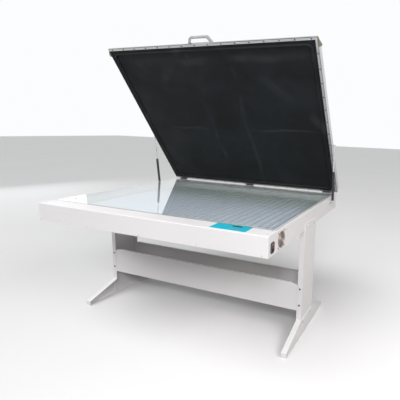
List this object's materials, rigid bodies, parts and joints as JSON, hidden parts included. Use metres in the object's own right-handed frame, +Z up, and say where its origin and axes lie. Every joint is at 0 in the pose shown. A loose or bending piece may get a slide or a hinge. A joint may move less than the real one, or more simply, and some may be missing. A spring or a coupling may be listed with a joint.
{
  "type": "vacuum exposure table",
  "caption": "Free-standing exposure table: a glass-topped lamp case on two T-shaped legs, with a hinged lid that holds a rubber vacuum blanket and is carried by gas struts.",
  "frame": {"origin": "on the floor, under the middle of the whole object with its lid open", "axes": "+X to the right of a person standing at the control strip, +Y to the back where the hinges are, +Z up"},
  "size_m": [1.664, 1.5006, 1.944],
  "materials": {
    "white": "powder coated, satin",
    "zinc": "zinc plated",
    "glass": "clear, polished",
    "reflector": "satin",
    "tube": "white phosphor behind glass",
    "pump": "satin",
    "hose": "matt",
    "brass": "turned",
    "board": "solder resist",
    "teal": "satin film",
    "window": "dark tinted",
    "pink": "satin",
    "green": "satin",
    "red": "moulded",
    "black_plastic": "moulded",
    "chrome": "bright",
    "black_metal": "satin black",
    "aluminium": "satin anodised",
    "catch": "yellow zinc",
    "rubber": "matt",
    "handle": "satin"
  },
  "bodies": {
    "base": {"foot_left": "white", "foot_right": "white", "column_left": "white", "column_right": "white", "cross_panel_front": "white", "cross_panel_rear": "white", "case_tray": "white", "front_cover": "white", "side_panel_left": "white", "side_panel_right": "white", "compartment_wall": "white", "lamp_rail_rear": "white", "lamp_holders": "white", "ballasts": "white", "column_screws": "zinc", "foot_bolts": "zinc", "case_bolts": "zinc", "case_screws": "zinc", "inlet_pins": "zinc", "strut_studs_case": "zinc", "glass_plate": "glass", "reflector": "reflector", "tube_caps": "reflector", "uv_tubes": "tube", "vacuum_pump": "pump", "vacuum_pipe": "hose", "vacuum_port": "brass", "control_board": "board", "control_panel": "teal", "display_window": "window", "power_inlet": "black_plastic", "fan_frame": "black_plastic", "fan_guard": "chrome", "hinge_pins": "chrome", "hinge_leaves_case": "black_metal"},
    "lid": {"lid_rail_front": "aluminium", "lid_rail_rear": "aluminium", "lid_rail_left": "aluminium", "lid_rail_right": "aluminium", "lid_catches": "catch", "rubber_blanket": "rubber", "seal_bead": "rubber", "clamp_strip_front": "aluminium", "clamp_strip_rear": "aluminium", "clamp_strip_left": "aluminium", "clamp_strip_right": "aluminium", "clamp_screws": "zinc", "handle": "handle", "handle_screws": "zinc", "hinge_leaves_lid": "black_metal", "strut_studs_lid": "zinc"},
    "strut_cylinder_left": {"strut_cylinder_left": "black_metal"},
    "strut_cylinder_right": {"strut_cylinder_right": "black_metal"},
    "strut_rod_left": {"strut_rod_left": "chrome"},
    "strut_rod_right": {"strut_rod_right": "chrome"},
    "button_set": {"button_set": "pink"},
    "button_start": {"button_start": "green"},
    "button_stop": {"button_stop": "red"},
    "rocker": {"rocker_switch": "red"},
    "fan_rotor": {"fan_rotor": "black_plastic"}
  },
  "joints": [
    {"name": "lid_hinge", "type": "hinge", "parent": "base", "child": "lid", "pos_m": [0, 0.69953, 0.85], "axis": [1, 0, 0], "range_deg": [0, 52]},
    {"name": "strut_swing_left", "type": "hinge", "parent": "base", "child": "strut_cylinder_left", "pos_m": [-0.822, 0.47153, 0.815], "axis": [1, 0, 0], "range_deg": [0, 70]},
    {"name": "strut_travel_left", "type": "slide", "parent": "strut_cylinder_left", "child": "strut_rod_left", "axis": [0, -0.1254, 0.9921], "range_m": [-0.172, 0]},
    {"name": "strut_swing_right", "type": "hinge", "parent": "base", "child": "strut_cylinder_right", "pos_m": [0.822, 0.47153, 0.815], "axis": [1, 0, 0], "range_deg": [0, 70]},
    {"name": "strut_travel_right", "type": "slide", "parent": "strut_cylinder_right", "child": "strut_rod_right", "axis": [0, -0.1254, 0.9921], "range_m": [-0.172, 0]},
    {"name": "button_set_press", "type": "slide", "parent": "base", "child": "button_set", "axis": [0, 0, -1], "range_m": [0, 0.0008], "stiffness_N_per_m": 300},
    {"name": "button_start_press", "type": "slide", "parent": "base", "child": "button_start", "axis": [0, 0, -1], "range_m": [0, 0.0008], "stiffness_N_per_m": 300},
    {"name": "button_stop_press", "type": "slide", "parent": "base", "child": "button_stop", "axis": [0, 0, -1], "range_m": [0, 0.0008], "stiffness_N_per_m": 300},
    {"name": "rocker_tilt", "type": "hinge", "parent": "base", "child": "rocker", "pos_m": [0.797, -0.69847, 0.792], "axis": [0, 1, 0], "range_deg": [-16, 0]},
    {"name": "fan_spin", "type": "hinge", "parent": "base", "child": "fan_rotor", "pos_m": [0.7855, -0.57647, 0.79], "axis": [1, 0, 0], "continuous": true}
  ],
  "couplings": [
    {"joint": "strut_swing_left", "follows": "lid_hinge", "ratio": 1.3439},
    {"joint": "strut_travel_left", "follows": "lid_hinge", "m_per_rad": -0.18829},
    {"joint": "strut_swing_right", "follows": "lid_hinge", "ratio": 1.3439},
    {"joint": "strut_travel_right", "follows": "lid_hinge", "m_per_rad": -0.18829}
  ]
}
